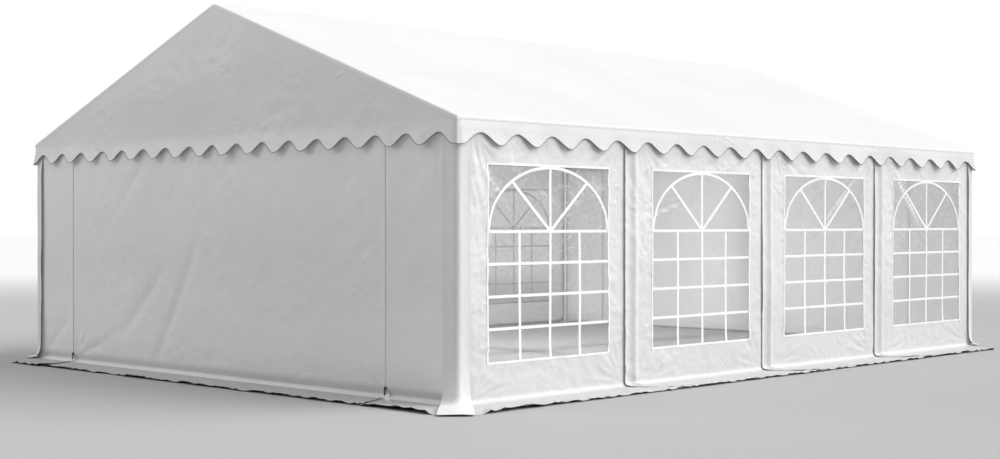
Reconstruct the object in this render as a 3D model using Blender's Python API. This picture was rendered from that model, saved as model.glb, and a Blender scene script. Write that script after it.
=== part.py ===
"""A marquee tent of 6 by 8 metres: coated cloth over a frame of round steel tubes.

Metres, +Z up. The tent's length runs along X, and its front, with the zipped door, faces -X.
Right and left are those of a person who stands before the door and looks in: right is -Y.
The origin is on the ground, under the middle of the tent. Each cloth is a plain thin plate.
"""

import math

import bmesh
import bpy
from mathutils import Vector

# Driving dimensions
BAY = 2.0
BAYS = 4
SPAN = 6.0
EAVE_HEIGHT = 2.16
RIDGE_HEIGHT = 3.29

# Frame of tubes, and of the sockets and sleeves that join them
TUBE_RADIUS = 0.025
SOCKET_RADIUS = 0.029
SOCKET_REACH = 0.17
INSIDE_SOCKET = 0.001
TIE_UNDER_EAVE_TUBE = 0.052
FOOT_PLATE = 0.12
FOOT_PLATE_THICKNESS = 0.006
FOOT_COLLAR_RADIUS = 0.028
FOOT_COLLAR_HEIGHT = 0.08
TUBE_SIDES = 16

# Cloth, and the gaps between pieces that rest on each other or hang apart
CLOTH = 0.004
FILM = 0.002
SEAT = 0.0003
VALANCE_STAND_OFF = 0.010

# Scalloped valance that hangs from the eaves and the gables
VALANCE_AT_NOTCH = 0.117
VALANCE_AT_LOBE = 0.210
SIDE_LOBES = 20
GABLE_LOBES = 17
STEPS_PER_LOBE = 10

# Walls
WINDOW_WIDTH = 1.41
WINDOW_SILL = 0.305
WINDOW_HEAD = 1.805
SEAM_BEFORE_POST = 0.09
CORNER_WRAP = 0.13
RIGHT_ZIP = -2.24
LEFT_ZIP = 2.34
WALL_TOP = 2.15

# Flap of cloth that lies on the ground outside the walls
FLAP_WIDTH = 0.48
FLAP_PAST_CORNER = 0.17
CORNER_FLAP_CUT = 0.20

# Distances from the lines through the posts, and the places that follow from them
WALL_INSIDE = SOCKET_RADIUS + SEAT
WALL_OUTSIDE = WALL_INSIDE + CLOTH
VALANCE_INSIDE = WALL_OUTSIDE + VALANCE_STAND_OFF
VALANCE_OUTSIDE = VALANCE_INSIDE + CLOTH
HALF_SPAN = SPAN / 2
HALF_RUN = BAY * BAYS / 2
ROOF_HALF_WIDTH = HALF_SPAN + VALANCE_OUTSIDE
ROOF_HALF_LENGTH = HALF_RUN + VALANCE_OUTSIDE
WALL_HALF_WIDTH = HALF_SPAN + WALL_OUTSIDE
WALL_HALF_LENGTH = HALF_RUN + WALL_OUTSIDE
POST_PLACES = [BAY * number - HALF_RUN for number in range(BAYS + 1)]

# Roof slope: the tubes lie under the cloth by the reach of their sockets
ROOF_SLOPE = (RIDGE_HEIGHT - EAVE_HEIGHT) / ROOF_HALF_WIDTH
ROOF_ANGLE = math.atan(ROOF_SLOPE)
CLOTH_UPRIGHT = CLOTH / math.cos(ROOF_ANGLE)
TUBE_UNDER_CLOTH = (CLOTH + SEAT + SOCKET_RADIUS) / math.cos(ROOF_ANGLE)
RIDGE_TUBE_HEIGHT = RIDGE_HEIGHT - TUBE_UNDER_CLOTH
EAVE_TUBE_HEIGHT = RIDGE_TUBE_HEIGHT - ROOF_SLOPE * HALF_SPAN

LYING = (0.0, 0.0, 0.0)
FACING_SIDE = (math.pi / 2, 0.0, 0.0)
FACING_END = (math.pi / 2, 0.0, math.pi / 2)


def clear_scene():
    for old in list(bpy.data.objects):
        bpy.data.objects.remove(old)


def make_collection(name, shown):
    made = bpy.data.collections.new(name)
    made.hide_render = not shown
    bpy.context.scene.collection.children.link(made)
    return made


def make_material(name, colour, roughness, metallic=0.0, alpha=1.0):
    made = bpy.data.materials.new(name)
    made.use_nodes = True
    shader = made.node_tree.nodes["Principled BSDF"]
    shader.inputs["Base Color"].default_value = (*colour, 1.0)
    shader.inputs["Roughness"].default_value = roughness
    shader.inputs["Metallic"].default_value = metallic
    shader.inputs["Alpha"].default_value = alpha
    made.diffuse_color = (*colour, alpha)
    return made


def link(made, collection, material):
    made.data.materials.append(material)
    collection.objects.link(made)
    return made


def roof_height(across):
    """Height of the roof cloth's upper face at this distance from the middle."""
    return RIDGE_HEIGHT - ROOF_SLOPE * abs(across)


def flat_piece(name, outlines, thickness, place, turn, material):
    """A plate cut to flat outlines, the first its edge and the others its holes."""
    curve = bpy.data.curves.new(name, "CURVE")
    curve.dimensions = "2D"
    curve.fill_mode = "BOTH"
    curve.extrude = thickness / 2
    for outline in outlines:
        spline = curve.splines.new("POLY")
        spline.points.add(len(outline) - 1)
        for point, (across, up) in zip(spline.points, outline):
            point.co = (across, up, 0.0, 1.0)
        spline.use_cyclic_u = True
    piece = bpy.data.objects.new(name, curve)
    piece.location = place
    piece.rotation_euler = turn
    return link(piece, TENT, material)


def rectangle(left, right, low, high):
    return [(left, low), (right, low), (right, high), (left, high)]


def as_mesh(piece):
    """The same piece as a mesh with closed corners, so that a Boolean can join or cut it."""
    graph = bpy.context.evaluated_depsgraph_get()
    mesh = bpy.data.meshes.new_from_object(piece.evaluated_get(graph))
    solid = bmesh.new()
    solid.from_mesh(mesh)
    bmesh.ops.remove_doubles(solid, verts=solid.verts, dist=1e-5)
    solid.to_mesh(mesh)
    solid.free()
    name = piece.name
    place = piece.matrix_world.copy()
    bpy.data.objects.remove(piece)
    made = bpy.data.objects.new(name, mesh)
    made.matrix_world = place
    TENT.objects.link(made)
    return made


def rod(name, start, end, radius, collection):
    """A round steel bar between two points, shaded smooth."""
    start, end = Vector(start), Vector(end)
    mesh = bpy.data.meshes.new(name)
    solid = bmesh.new()
    bmesh.ops.create_cone(
        solid,
        cap_ends=True,
        segments=TUBE_SIDES,
        radius1=radius,
        radius2=radius,
        depth=(end - start).length,
    )
    solid.to_mesh(mesh)
    solid.free()
    mesh.shade_smooth()
    mesh.set_sharp_from_angle(angle=math.radians(40))
    made = bpy.data.objects.new(name, mesh)
    made.location = (start + end) / 2
    made.rotation_euler = (end - start).to_track_quat("Z", "Y").to_euler()
    return link(made, collection, STEEL)


def block(name, low, high, collection, material):
    """A plain box between its lowest and highest corners."""
    low, high = Vector(low), Vector(high)
    mesh = bpy.data.meshes.new(name)
    solid = bmesh.new()
    bmesh.ops.create_cube(solid, size=1.0)
    bmesh.ops.scale(solid, vec=high - low, verts=solid.verts)
    solid.to_mesh(mesh)
    solid.free()
    made = bpy.data.objects.new(name, mesh)
    made.location = (low + high) / 2
    return link(made, collection, material)


def join(piece, name, build_members):
    """Unites a piece with the solids that build_members makes in a hidden collection."""
    members = make_collection(name + "_members", shown=False)
    build_members(members)
    for member in members.objects:
        member.hide_render = True
        member.display_type = "WIRE"
    union = piece.modifiers.new("joined", "BOOLEAN")
    union.operation = "UNION"
    union.operand_type = "COLLECTION"
    union.collection = members
    union.solver = "EXACT"


def scallops(half_length, lobes):
    """Points along a valance's hem, from -half_length to +half_length, a lobe on each corner."""
    middle = EAVE_HEIGHT - (VALANCE_AT_LOBE + VALANCE_AT_NOTCH) / 2
    swing = (VALANCE_AT_LOBE - VALANCE_AT_NOTCH) / 2
    steps = lobes * STEPS_PER_LOBE
    points = []
    for step in range(steps + 1):
        share = step / steps
        height = middle - swing * math.cos(2 * math.pi * lobes * share)
        points.append(((2 * share - 1) * half_length, height))
    return points


# Steel frame


def build_post(name, along, side):
    """An upright inside the wall cloth: a foot plate with its collar, and a socket at the top."""
    across = side * HALF_SPAN
    top = EAVE_TUBE_HEIGHT - SOCKET_RADIUS - SEAT
    foot = (along, across, FOOT_PLATE_THICKNESS / 2)
    post = rod(name, foot, (along, across, top - INSIDE_SOCKET), TUBE_RADIUS, TENT)
    reach = FOOT_PLATE - SOCKET_RADIUS
    inward = SOCKET_RADIUS if abs(along) == HALF_RUN else FOOT_PLATE / 2
    low_along = along - (inward if along <= 0 else FOOT_PLATE - inward)
    low_across = across - (reach if side > 0 else SOCKET_RADIUS)
    low = (low_along, low_across, 0.0)
    high = (low_along + FOOT_PLATE, low_across + FOOT_PLATE, FOOT_PLATE_THICKNESS)

    def members(collection):
        block(name + "_plate", low, high, collection, STEEL)
        under = (along, across, FOOT_PLATE_THICKNESS / 3)
        collar = (along, across, FOOT_COLLAR_HEIGHT)
        rod(name + "_collar", under, collar, FOOT_COLLAR_RADIUS, collection)
        low_end = (along, across, top - SOCKET_REACH)
        rod(name + "_socket", low_end, (along, across, top), SOCKET_RADIUS, collection)

    join(post, name, members)


def build_rafter(name, along, side):
    """A sloping tube whose sockets butt the eave tube below and the ridge tube above."""
    foot = Vector((along, side * HALF_SPAN, EAVE_TUBE_HEIGHT))
    head = Vector((along, 0.0, RIDGE_TUBE_HEIGHT))
    uphill = (head - foot).normalized()
    low = foot + uphill * (SOCKET_RADIUS + SEAT)
    high = head - uphill * (SOCKET_RADIUS + SEAT)
    inside = uphill * INSIDE_SOCKET
    reach = uphill * SOCKET_REACH
    rafter = rod(name, low + inside, high - inside, TUBE_RADIUS, TENT)

    def members(collection):
        rod(name + "_foot_socket", low, low + reach, SOCKET_RADIUS, collection)
        rod(name + "_head_socket", high - reach, high, SOCKET_RADIUS, collection)

    join(rafter, name, members)


def build_long_tube(name, across, height):
    """A tube along the whole tent, with a sleeve at each frame."""
    tube = rod(name, (-HALF_RUN, across, height), (HALF_RUN, across, height), TUBE_RADIUS, TENT)

    def members(collection):
        for number, along in enumerate(POST_PLACES, 1):
            low = max(along - SOCKET_REACH, -HALF_RUN - SOCKET_RADIUS)
            high = min(along + SOCKET_REACH, HALF_RUN + SOCKET_RADIUS)
            label = f"{name}_sleeve_{number}"
            rod(label, (low, across, height), (high, across, height), SOCKET_RADIUS, collection)

    join(tube, name, members)


def build_frame():
    build_long_tube("ridge_tube", 0.0, RIDGE_TUBE_HEIGHT)
    for word, side in (("right", -1), ("left", 1)):
        build_long_tube(f"{word}_eave_tube", side * HALF_SPAN, EAVE_TUBE_HEIGHT)
        for number, along in enumerate(POST_PLACES, 1):
            build_post(f"{word}_post_{number}", along, side)
            build_rafter(f"{word}_rafter_{number}", along, side)
    tie_end = HALF_SPAN - SOCKET_RADIUS - SEAT
    tie_height = EAVE_TUBE_HEIGHT - TIE_UNDER_EAVE_TUBE
    for word, along in (("front", -HALF_RUN), ("rear", HALF_RUN)):
        ends = ((along, -tie_end, tie_height), (along, tie_end, tie_height))
        rod(f"{word}_tie_tube", *ends, TUBE_RADIUS, TENT)


# Roof cover


def build_roof():
    """Two slopes, a gable at each end and a valance along each eave."""
    eave_upper = roof_height(ROOF_HALF_WIDTH)
    for word, side in (("right", -1), ("left", 1)):
        ridge = side * SEAT / 2
        eave = side * ROOF_HALF_WIDTH
        outline = [
            (ridge, roof_height(ridge)),
            (eave, eave_upper),
            (eave, eave_upper - CLOTH_UPRIGHT),
            (ridge, roof_height(ridge) - CLOTH_UPRIGHT),
        ]
        length = 2 * ROOF_HALF_LENGTH
        flat_piece(f"{word}_roof", [outline], length, LYING, FACING_END, WHITE_CLOTH)
        hem = scallops(ROOF_HALF_LENGTH, SIDE_LOBES)
        top = eave_upper - CLOTH_UPRIGHT - SEAT
        outline = [*hem, (ROOF_HALF_LENGTH, top), (-ROOF_HALF_LENGTH, top)]
        place = (0.0, side * (ROOF_HALF_WIDTH - CLOTH / 2), 0.0)
        flat_piece(f"{word}_valance", [outline], CLOTH, place, FACING_SIDE, WHITE_CLOTH)
    edge = ROOF_HALF_WIDTH - CLOTH - SEAT
    under = CLOTH_UPRIGHT + SEAT
    for word, side in (("front", -1), ("rear", 1)):
        hem = scallops(edge, GABLE_LOBES)
        corner = roof_height(edge) - under
        outline = [*hem, (edge, corner), (0.0, RIDGE_HEIGHT - under), (-edge, corner)]
        place = (side * (ROOF_HALF_LENGTH - CLOTH / 2), 0.0, 0.0)
        flat_piece(f"{word}_gable", [outline], CLOTH, place, FACING_END, WHITE_CLOTH)


# Walls


def corner_strip(name, side, end, collection):
    """The band of a wall cloth that turns the corner onto the neighbouring wall."""
    x_low, x_high = sorted((end * WALL_HALF_LENGTH, end * (WALL_HALF_LENGTH - CLOTH)))
    outer, inner = WALL_HALF_WIDTH, WALL_HALF_WIDTH - CORNER_WRAP
    y_low, y_high = sorted((side * outer, side * inner))
    low, high = (x_low, y_low, 0.0), (x_high, y_high, WALL_TOP)
    block(name, low, high, collection, WHITE_CLOTH)


def build_side_walls():
    """Four cloths a side, each with a window, and the first turns the front corner."""
    seams = [-WALL_HALF_LENGTH]
    seams += [along - SEAM_BEFORE_POST for along in POST_PLACES[1:]]
    for word, side in (("right", -1), ("left", 1)):
        place = (0.0, side * (WALL_HALF_WIDTH - CLOTH / 2), 0.0)
        for number in range(BAYS):
            name = f"{word}_wall_{number + 1}"
            middle = POST_PLACES[number] + BAY / 2
            left, right = middle - WINDOW_WIDTH / 2, middle + WINDOW_WIDTH / 2
            edge = rectangle(seams[number], seams[number + 1] - SEAT, 0.0, WALL_TOP)
            hole = rectangle(left, right, WINDOW_SILL, WINDOW_HEAD)
            wall = flat_piece(name, [edge, hole], CLOTH, place, FACING_SIDE, WHITE_CLOTH)
            low, high = WINDOW_SILL + SEAT, WINDOW_HEAD - SEAT
            pane = rectangle(left + SEAT, right - SEAT, low, high)
            window = f"{word}_window_{number + 1}"
            flat_piece(window, [pane], FILM, place, FACING_SIDE, CLEAR_FILM)
            if number == 0:
                bpy.context.view_layer.update()
                wall = as_mesh(wall)

                def members(collection, side=side, name=name):
                    corner_strip(name + "_strip", side, -1, collection)

                join(wall, name, members)


def build_end_walls():
    """A zipped door between two side pieces; at the rear those turn onto the long walls."""
    for word, end in (("front", -1), ("rear", 1)):
        place = (end * (WALL_HALF_LENGTH - CLOTH / 2), 0.0, 0.0)
        door = rectangle(RIGHT_ZIP, LEFT_ZIP, 0.0, WALL_TOP)
        flat_piece(f"{word}_door", [door], CLOTH, place, FACING_END, WHITE_CLOTH)
        wrapped = WALL_HALF_WIDTH - CORNER_WRAP - SEAT
        outer = wrapped if word == "front" else WALL_HALF_WIDTH
        for side_word, side, zip_place in (("right", -1, RIGHT_ZIP), ("left", 1, LEFT_ZIP)):
            name = f"{word}_wall_{side_word}"
            ends = sorted((zip_place + side * SEAT, side * outer))
            edge = rectangle(*ends, 0.0, WALL_TOP)
            wall = flat_piece(name, [edge], CLOTH, place, FACING_END, WHITE_CLOTH)
            if word == "rear":
                bpy.context.view_layer.update()
                wall = as_mesh(wall)

                def members(collection, side=side, name=name):
                    low_x = HALF_RUN - SEAM_BEFORE_POST
                    faces = (side * WALL_HALF_WIDTH, side * (WALL_HALF_WIDTH - CLOTH))
                    low = (low_x, min(faces), 0.0)
                    high = (WALL_HALF_LENGTH, max(faces), WALL_TOP)
                    block(name + "_strip", low, high, collection, WHITE_CLOTH)

                join(wall, name, members)


def build_ground_flaps():
    """A flap along each wall, its ends cut at 45 degrees so that they meet at the corners.

    At the front right corner the flaps run on past the walls, and a corner flap lies between.
    """
    inner_x, inner_y = WALL_HALF_LENGTH + SEAT, WALL_HALF_WIDTH + SEAT
    outer_x, outer_y = inner_x + FLAP_WIDTH, inner_y + FLAP_WIDTH
    past_x, past_y = WALL_HALF_LENGTH + FLAP_PAST_CORNER, WALL_HALF_WIDTH + FLAP_PAST_CORNER
    cut_x, cut_y = WALL_HALF_LENGTH - FLAP_WIDTH, WALL_HALF_WIDTH - FLAP_WIDTH
    outlines = {
        "right_ground_flap": [
            (-WALL_HALF_LENGTH, -inner_y),
            (WALL_HALF_LENGTH, -inner_y),
            (cut_x, -outer_y),
            (-past_x, -outer_y),
        ],
        "left_ground_flap": [
            (-WALL_HALF_LENGTH, inner_y),
            (WALL_HALF_LENGTH, inner_y),
            (cut_x, outer_y),
            (-cut_x, outer_y),
        ],
        "front_ground_flap": [
            (-inner_x, -WALL_HALF_WIDTH),
            (-outer_x, -past_y),
            (-outer_x, cut_y),
            (-inner_x, WALL_HALF_WIDTH),
        ],
        "rear_ground_flap": [
            (inner_x, -WALL_HALF_WIDTH),
            (outer_x, -cut_y),
            (outer_x, cut_y),
            (inner_x, WALL_HALF_WIDTH),
        ],
        "front_right_corner_flap": [
            (-inner_x - SEAT, -inner_y - SEAT),
            (-outer_x, -past_y - 2 * SEAT),
            (-outer_x, CORNER_FLAP_CUT - outer_y),
            (CORNER_FLAP_CUT - outer_x, -outer_y),
            (-past_x - 2 * SEAT, -outer_y),
        ],
    }
    for name, outline in outlines.items():
        flat_piece(name, [outline], CLOTH, (0.0, 0.0, CLOTH / 2), LYING, WHITE_CLOTH)


clear_scene()
TENT = make_collection("marquee_tent", shown=True)
WHITE_CLOTH = make_material("white_pvc_cloth", (0.86, 0.87, 0.89), 0.45)
CLEAR_FILM = make_material("clear_window_film", (0.82, 0.84, 0.86), 0.12, alpha=0.35)
STEEL = make_material("galvanised_steel", (0.62, 0.64, 0.66), 0.38, metallic=1.0)
build_frame()
build_roof()
build_side_walls()
build_end_walls()
build_ground_flaps()
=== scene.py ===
# %% [markdown]
# # A marquee tent of white coated cloth
#
# This notebook dresses a plain model of a marquee tent: a frame of steel tubes with flat plates
# in the place of every cloth. The plates are exchanged for real cloth that hangs, folds and
# creases, for windows of clear film with white bars, and for zips. Lengths are in metres, Z is
# up, and the tent's length runs along X. Its front, with the zipped door, faces -X, and its right
# side faces -Y.

import math
import random

import bpy
import numpy as np
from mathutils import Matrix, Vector, noise


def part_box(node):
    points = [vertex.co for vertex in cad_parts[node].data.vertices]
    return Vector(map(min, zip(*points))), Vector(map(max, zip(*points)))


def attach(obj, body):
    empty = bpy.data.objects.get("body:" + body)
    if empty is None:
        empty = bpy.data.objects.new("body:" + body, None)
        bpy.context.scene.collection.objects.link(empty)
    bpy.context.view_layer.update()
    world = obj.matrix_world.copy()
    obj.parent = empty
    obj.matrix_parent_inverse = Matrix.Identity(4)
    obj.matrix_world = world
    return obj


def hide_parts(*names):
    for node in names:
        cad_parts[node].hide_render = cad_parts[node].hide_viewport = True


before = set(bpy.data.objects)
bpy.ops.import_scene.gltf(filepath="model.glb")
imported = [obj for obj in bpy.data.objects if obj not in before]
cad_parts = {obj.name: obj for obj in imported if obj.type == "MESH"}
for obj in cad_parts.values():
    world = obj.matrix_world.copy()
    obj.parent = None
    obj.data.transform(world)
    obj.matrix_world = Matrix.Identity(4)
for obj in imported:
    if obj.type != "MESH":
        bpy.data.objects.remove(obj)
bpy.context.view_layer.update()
bpy.ops.object.select_all(action="DESELECT")

# %% [markdown]
# ## Camera
#
# The camera stands a little below eye height before the front right corner, so that both the
# front and the long side show. Its place and its lens were worked out from the picture of the real tent: the
# corners of the windows and of the roof have to land on the same spots of the image.

# %% Camera
CAMERA_PLACE = (-12.083, -11.220, 1.362)
CAMERA_TURN = (math.radians(89.761), 0.0, math.radians(-46.107))
CAMERA_LENS = 55.746

bpy.ops.object.camera_add(location=CAMERA_PLACE, rotation=CAMERA_TURN)
camera = bpy.context.object
camera.data.sensor_width = 36.0
camera.data.lens = CAMERA_LENS
bpy.context.scene.camera = camera
print("camera", CAMERA_LENS, "mm")

# %% [markdown]
# ## Tools for materials
#
# A material is a small network of nodes. One function adds a node and sets or links its inputs,
# and five more are for what comes back most: noise, a calculation, a change of range, a row of
# tones and bumps.

# %% Nodes


def new_material(name):
    """A material with its Principled shader."""
    made = bpy.data.materials.new(name)
    made.use_nodes = True
    return made, made.node_tree, made.node_tree.nodes["Principled BSDF"]


def plug(tree, socket, value):
    """Links an output to an input, or sets the input to a number or a colour."""
    if isinstance(value, bpy.types.NodeSocket):
        tree.links.new(value, socket)
    else:
        socket.default_value = value


def set_inputs(tree, node, **inputs):
    for name, value in inputs.items():
        plug(tree, node.inputs[name.replace("_", " ")], value)


def add_node(tree, kind, **values):
    """A new node: names that start with a capital are its inputs, the others its settings."""
    node = tree.nodes.new(kind)
    for name, value in values.items():
        if name[0].isupper():
            set_inputs(tree, node, **{name: value})
        else:
            setattr(node, name, value)
    return node


def noise_of(tree, place, **values):
    return add_node(tree, "ShaderNodeTexNoise", Vector=place, **values).outputs["Fac"]


def calculate(tree, operation, *values, clamped=False):
    node = add_node(tree, "ShaderNodeMath", operation=operation, use_clamp=clamped)
    for socket, value in zip(node.inputs, values):
        plug(tree, socket, value)
    return node.outputs["Value"]


def stretch(tree, value, **limits):
    """Moves a value from one range to another one."""
    return add_node(tree, "ShaderNodeMapRange", Value=value, **limits).outputs["Result"]


def tones(tree, value, stops):
    """A colour for each value; stops are pairs of a value from 0 to 1 and its colour."""
    node = add_node(tree, "ShaderNodeValToRGB", Fac=value)
    row = node.color_ramp.elements
    for number, (spot, colour) in enumerate(stops):
        stop = row[number] if number < 2 else row.new(spot)
        stop.position = spot
        stop.color = (*colour, 1.0)
    return node.outputs["Color"]


def bumps(tree, height, strength, distance, **below):
    """Makes the light fall as on a rough surface; coarser or finer bumps come in as Normal."""
    node = add_node(tree, "ShaderNodeBump", Height=height, Strength=strength, Distance=distance, **below)
    return node.outputs["Normal"]


print("tools for nodes are ready")

# %% [markdown]
# ## Floor and light
#
# The tent stands in a bright studio on a pale floor that runs out into white. A broad sun lamp to
# the right and rear lights the long wall and the roof. A large soft panel far off to the left
# grazes the front, so that its folds show, and leaves it darker than the side, which tells the two faces
# apart. The sky fills in the rest. Four soft lamps inside, one for each wall, stand for the
# daylight that cloth of this kind lets through. All strengths were set until the faces and
# the windows came out nearly as light as in the picture.

# %% Floor
FLOOR_HALF = 150.0
FLOOR_BELOW = 0.0006
FLOOR_SHADE = 0.45
FADE_START = 10.0
FADE_END = 30.0

bpy.ops.mesh.primitive_plane_add(size=2 * FLOOR_HALF, location=(0.0, 0.0, -FLOOR_BELOW))
floor = bpy.context.object
floor.name = "studio_floor"
floor_paint, floor_tree, floor_shader = new_material("pale_floor")
floor_place = add_node(floor_tree, "ShaderNodeTexCoord")
distance = add_node(floor_tree, "ShaderNodeVectorMath", operation="LENGTH",
                    Vector=floor_place.outputs["Object"])
fade = add_node(floor_tree, "ShaderNodeMapRange", interpolation_type="SMOOTHSTEP",
                Value=distance.outputs["Value"], From_Min=FADE_START, From_Max=FADE_END)
floor_colour = (FLOOR_SHADE, FLOOR_SHADE, 0.99 * FLOOR_SHADE, 1.0)
floor_glow = (FLOOR_SHADE, FLOOR_SHADE, FLOOR_SHADE, 1.0)
set_inputs(floor_tree, floor_shader, Base_Color=floor_colour, Roughness=0.9, Emission_Color=floor_glow,
           Emission_Strength=fade.outputs["Result"])
floor.data.materials.append(floor_paint)
print("floor", 2 * FLOOR_HALF, "m wide")

# %% Light
SKY_AT_SIDES = 0.05
SKY_OVERHEAD = 0.78
KEY_TOWARDS = (0.58, -0.57, 0.58)
KEY_DISTANCE = 12.0
KEY_STRENGTH = 3.2
KEY_ANGLE = 58.0
PANEL_PLACE = (-13.5, 12.0, 8.0)
PANEL_AIM = (-4.0, 0.0, 1.2)
PANEL_SIZE = 7.0
PANEL_POWER = 700.0
INNER_POWER = 51.0
INNER_LEVEL = 1.12
INNER_HEIGHT = 1.7
INNER_LAMPS = ((0.0, 7.2, 1.15), (0.0, 5.2, 1.0), (0.0, 7.2, 1.0), (0.5, 4.6, 0.84))

world = bpy.data.worlds.new("studio")
bpy.context.scene.world = world
world.use_nodes = True
sky = world.node_tree
sky.nodes.clear()
direction = add_node(sky, "ShaderNodeTexCoord").outputs["Generated"]
split = add_node(sky, "ShaderNodeSeparateXYZ", Vector=direction)
strength = stretch(sky, split.outputs["Z"], To_Min=SKY_AT_SIDES, To_Max=SKY_OVERHEAD)
glow = add_node(sky, "ShaderNodeBackground", Color=(0.98, 0.99, 1.0, 1.0), Strength=strength)
backdrop = add_node(sky, "ShaderNodeBackground", Color=(1.0, 1.0, 1.0, 1.0))
rays = add_node(sky, "ShaderNodeLightPath")
mix = add_node(sky, "ShaderNodeMixShader", Fac=rays.outputs["Is Camera Ray"])
plug(sky, mix.inputs[1], glow.outputs["Background"])
plug(sky, mix.inputs[2], backdrop.outputs["Background"])
add_node(sky, "ShaderNodeOutputWorld", Surface=mix.outputs["Shader"])
bpy.context.scene.view_settings.view_transform = "Standard"

bpy.ops.object.light_add(type="SUN", location=[KEY_DISTANCE * part for part in KEY_TOWARDS])
key = bpy.context.object
key.name = "key"
key.rotation_euler = Vector(KEY_TOWARDS).to_track_quat("Z", "Y").to_euler()
key.data.energy = KEY_STRENGTH
key.data.angle = math.radians(KEY_ANGLE)

bpy.ops.object.light_add(type="AREA", location=PANEL_PLACE)
panel = bpy.context.object
panel.name = "soft_panel"
panel.rotation_euler = (Vector(PANEL_PLACE) - Vector(PANEL_AIM)).to_track_quat("Z", "Y").to_euler()
panel.data.size = PANEL_SIZE
panel.data.energy = PANEL_POWER
panel.visible_camera = False

# Each inner lamp: its place across the tent, its length, and its share of the power.
for turn, (aside, length, share) in enumerate(INNER_LAMPS):
    turned = (math.radians(90.0), 0.0, turn * math.pi / 2)
    bpy.ops.object.light_add(type="AREA", location=(0.0, aside, INNER_LEVEL), rotation=turned)
    inner = bpy.context.object
    inner.name = f"daylight_inside_{turn + 1}"
    inner.data.shape = "RECTANGLE"
    inner.data.size = length
    inner.data.size_y = INNER_HEIGHT
    inner.data.energy = INNER_POWER * share
    inner.visible_camera = False
print("light: sky", SKY_AT_SIDES, "to", SKY_OVERHEAD, "a key, a panel,", len(INNER_LAMPS), "lamps inside")

# %% [markdown]
# ## Sizes read from the plain pieces
#
# Every cloth must lie where its plain plate lies, so the faces of the walls, the valances and the
# ridge are measured from the plates. Only the bay, the half length, the eaves' height and how far a
# seam lies before its post are typed in.

# %% Sizes
WALL_SIDE = -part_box("right_wall_2")[0].y
WALL_END = -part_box("front_door")[0].x
WALL_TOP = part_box("front_door")[1].z
EAVE_SIDE = -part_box("right_valance")[0].y
EAVE_END = -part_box("front_gable")[0].x
LOBE_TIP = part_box("right_valance")[0].z
RIDGE_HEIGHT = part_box("right_roof")[1].z
EAVE_HEIGHT = 2.16
ROOF_SLOPE = (RIDGE_HEIGHT - EAVE_HEIGHT) / EAVE_SIDE
ROOF_ANGLE = math.atan(ROOF_SLOPE)
RIGHT_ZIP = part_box("front_door")[0].y
LEFT_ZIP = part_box("front_door")[1].y
BAY = 2.0
HALF_RUN = 4.0
SEAM_BEFORE_POST = 0.09
WINDOW_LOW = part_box("right_window_1")[0]
WINDOW_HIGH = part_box("right_window_1")[1]
WINDOW_WIDTH = WINDOW_HIGH.x - WINDOW_LOW.x
print("walls at", round(WALL_SIDE, 4), round(WALL_END, 4), "window", round(WINDOW_WIDTH, 3), "wide")

# %% [markdown]
# ## Tools for cloth
#
# Each cloth is made the way a tent maker makes it. First it is cut flat: a grid is added, its
# lines are moved to the seams and the window's edges, and the flat cut is kept as the UV map, so
# that the weave of the material follows the cloth wherever it bends. Then it is hung: every point
# moves from its flat place (u to the right, v up, for someone who looks at it from outside) to its
# place in the tent. A cloth simulation could do the hanging, but a tent wall is stretched and
# nearly flat, and its small folds are easier to place by a rule. Last it gets its thickness.

# %% Read, write and cut
CLOTH = 0.0012


def select_only(piece):
    bpy.ops.object.select_all(action="DESELECT")
    piece.select_set(True)
    bpy.context.view_layer.objects.active = piece


def read_places(piece):
    places = np.empty(len(piece.data.vertices) * 3, dtype=np.float32)
    piece.data.vertices.foreach_get("co", places)
    return places.reshape(-1, 3).astype(float)


def write_places(piece, places):
    piece.data.vertices.foreach_set("co", np.asarray(places, dtype=np.float32).ravel())
    piece.data.update()


def mark(cloth, name, values):
    """Keeps one number for each point of a cloth, for its material."""
    cloth.data.attributes.new(name, "FLOAT", "POINT").data.foreach_set("value", values.astype(np.float32))


def stations(places, steps):
    """Grid lines through the given places, with no more than the given step between them."""
    lines = [places[0]]
    for start, end, step in zip(places, places[1:], steps):
        count = max(1, math.ceil((end - start) / step - 0.01))
        lines += [start + (end - start) * (number + 1) / count for number in range(count)]
    return np.array(lines)


def cut_cloth(name, across, up, trim=None):
    """A flat cloth with grid lines at the given places; trim moves them to the real outline."""
    columns, rows = len(across) - 1, len(up) - 1
    bpy.ops.object.select_all(action="DESELECT")
    bpy.ops.mesh.primitive_grid_add(x_subdivisions=columns, y_subdivisions=rows, size=2.0)
    cloth = bpy.context.object
    cloth.name = name
    cloth.data.name = name
    spots = read_places(cloth)
    u = across[np.rint((spots[:, 0] + 1) * columns / 2).astype(int)]
    v = up[np.rint((spots[:, 1] + 1) * rows / 2).astype(int)]
    if trim:
        u, v = trim(u, v)
    write_places(cloth, np.column_stack((u, v, np.zeros(len(u)))))
    corners = np.empty(len(cloth.data.loops), dtype=np.int32)
    cloth.data.loops.foreach_get("vertex_index", corners)
    flat = np.column_stack((u[corners], v[corners])).astype(np.float32)
    cloth.data.uv_layers.active.data.foreach_set("uv", flat.ravel())
    return cloth


def cut_hole(cloth, low, high):
    """Deletes the faces of a flat cloth whose middle lies between two corners."""
    select_only(cloth)
    bpy.ops.object.mode_set(mode="EDIT")
    bpy.ops.mesh.select_all(action="DESELECT")
    bpy.ops.object.mode_set(mode="OBJECT")
    for face in cloth.data.polygons:
        u, v, _ = face.center
        face.select = low[0] < u < high[0] and low[1] < v < high[1]
    bpy.ops.object.mode_set(mode="EDIT")
    bpy.ops.mesh.select_mode(type="FACE")
    bpy.ops.mesh.delete(type="FACE")
    bpy.ops.object.mode_set(mode="OBJECT")


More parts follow.
